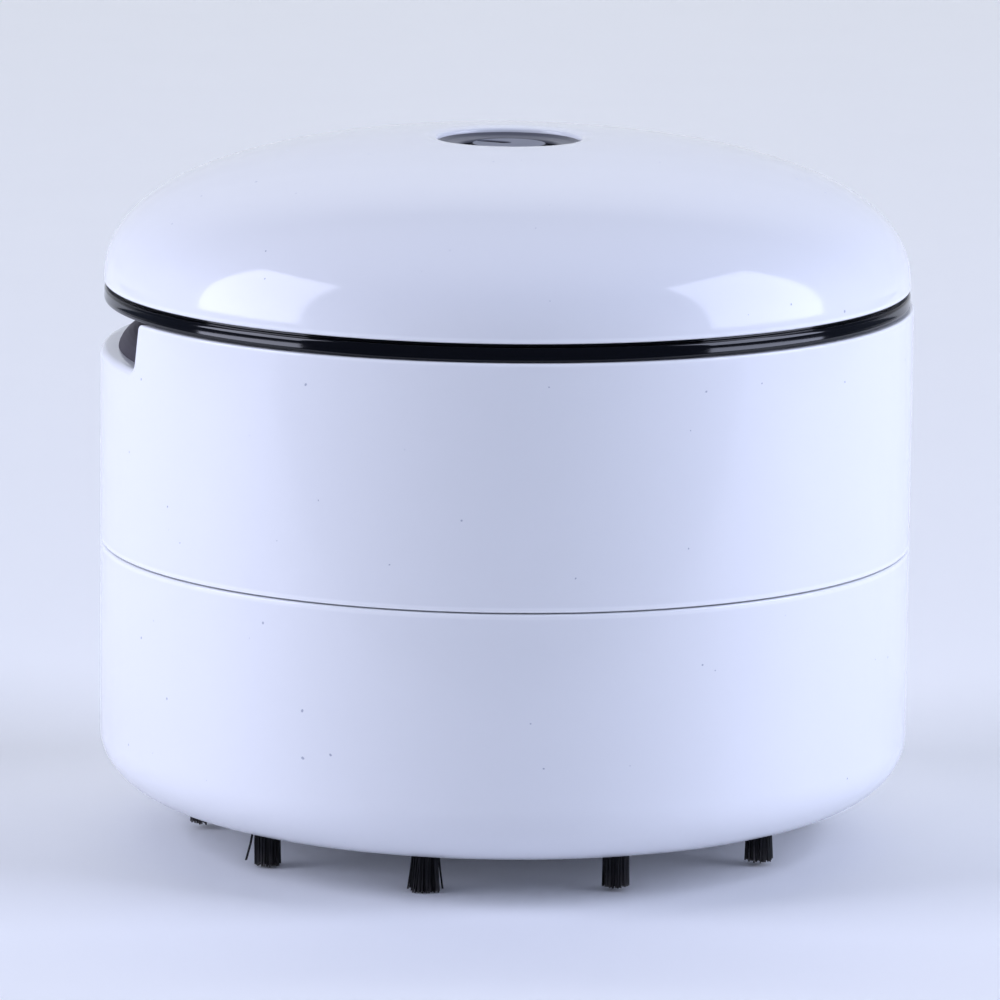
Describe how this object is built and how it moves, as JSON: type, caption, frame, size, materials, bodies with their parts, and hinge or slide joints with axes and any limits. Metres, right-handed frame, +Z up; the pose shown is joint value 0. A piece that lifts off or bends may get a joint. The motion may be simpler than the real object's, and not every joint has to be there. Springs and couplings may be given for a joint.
{
  "type": "desktop mini vacuum cleaner",
  "caption": "Round white desktop vacuum: dust cup on a ring of bristles, fan housing with a rim notch, black trim ring and domed lid with a push button.",
  "frame": {"origin": "on the axis at the plane of the bristle tips, which is the table", "axes": "+Z up along the axis of the round body; front toward -Y; the rim notch faces -X"},
  "size_m": [0.085, 0.085, 0.0737],
  "materials": {
    "gloss_white": "glossy moulded white with a cool cast",
    "gloss_black": "glossy black",
    "dish_grey": "satin dark grey",
    "button_grey": "satin mid grey",
    "bristle_nylon": "black nylon strands",
    "dark_plastic": "fine moulded texture",
    "natural_plastic": "satin natural",
    "black_nylon": "moulded black",
    "switch_white": "satin white",
    "seal_rubber": "matt rubber",
    "felt": "pressed felt",
    "screw_steel": "zinc plated",
    "motor_steel": "drawn, bright",
    "contact_nickel": "nickel plated",
    "bronze": "sintered bronze and brass",
    "board_laminate": "green laminate",
    "red_insulation": "soft red insulation",
    "black_insulation": "soft black insulation",
    "blue_insulation": "soft blue insulation",
    "cell_jacket": "plain printed jacket without words"
  },
  "bodies": {
    "cup": {"dust_cup": "gloss_white", "tuft_1": "bristle_nylon", "tuft_2": "bristle_nylon", "tuft_3": "bristle_nylon", "tuft_4": "bristle_nylon", "tuft_5": "bristle_nylon", "tuft_6": "bristle_nylon", "tuft_7": "bristle_nylon", "tuft_8": "bristle_nylon", "tuft_9": "bristle_nylon", "tuft_10": "bristle_nylon"},
    "housing": {"upper_housing": "gloss_white", "seal_ring": "seal_rubber", "fan_deck": "dark_plastic", "deck_screws": "screw_steel", "motor_can": "motor_steel", "front_bush": "bronze", "rear_bush": "bronze", "motor_end_cap": "black_nylon", "motor_terminals": "bronze", "motor_plate": "dark_plastic", "motor_screws": "screw_steel", "plate_screws": "screw_steel", "battery_tray": "dark_plastic", "tray_screws": "screw_steel", "positive_contact": "contact_nickel", "negative_contact": "contact_nickel", "bridge_contact": "contact_nickel", "spring_front": "contact_nickel", "spring_rear": "contact_nickel", "positive_lead": "red_insulation", "negative_lead": "black_insulation", "motor_lead": "blue_insulation", "switch_board": "board_laminate", "board_screws": "screw_steel", "switch_body": "black_nylon"},
    "filter": {"filter_frame": "natural_plastic", "filter_pad": "felt"},
    "rotor": {"impeller": "natural_plastic", "motor_shaft": "motor_steel"},
    "plunger": {"switch_plunger": "switch_white"},
    "lid": {"trim_ring": "gloss_black", "top_cover": "gloss_white", "button_bezel": "dish_grey"},
    "button": {"power_button": "button_grey"},
    "cell_front": {"aa_cell_front": "cell_jacket"},
    "cell_rear": {"aa_cell_rear": "cell_jacket"}
  },
  "joints": [
    {"name": "housing_lift", "type": "slide", "parent": "cup", "child": "housing", "axis": [0, 0, 1], "range_m": [0, 0.035]},
    {"name": "lid_lift", "type": "slide", "parent": "housing", "child": "lid", "axis": [0, 0, 1], "range_m": [0, 0.03]},
    {"name": "filter_pull", "type": "slide", "parent": "housing", "child": "filter", "axis": [0, 0, -1], "range_m": [0, 0.007]},
    {"name": "button_press", "type": "slide", "parent": "lid", "child": "button", "axis": [0, 0, -1], "range_m": [0, 0.0015], "stiffness_N_per_m": 600},
    {"name": "plunger_press", "type": "slide", "parent": "housing", "child": "plunger", "axis": [0, 0, -1], "range_m": [0, 0.0015]},
    {"name": "cell_front_lift", "type": "slide", "parent": "housing", "child": "cell_front", "axis": [0, 0, 1], "range_m": [0, 0.012]},
    {"name": "cell_rear_lift", "type": "slide", "parent": "housing", "child": "cell_rear", "axis": [0, 0, 1], "range_m": [0, 0.012]},
    {"name": "impeller_spin", "type": "hinge", "parent": "housing", "child": "rotor", "pos_m": [0, 0, 0.035], "axis": [0, 0, 1], "continuous": true}
  ],
  "couplings": [
    {"joint": "plunger_press", "follows": "button_press", "ratio": 1}
  ]
}
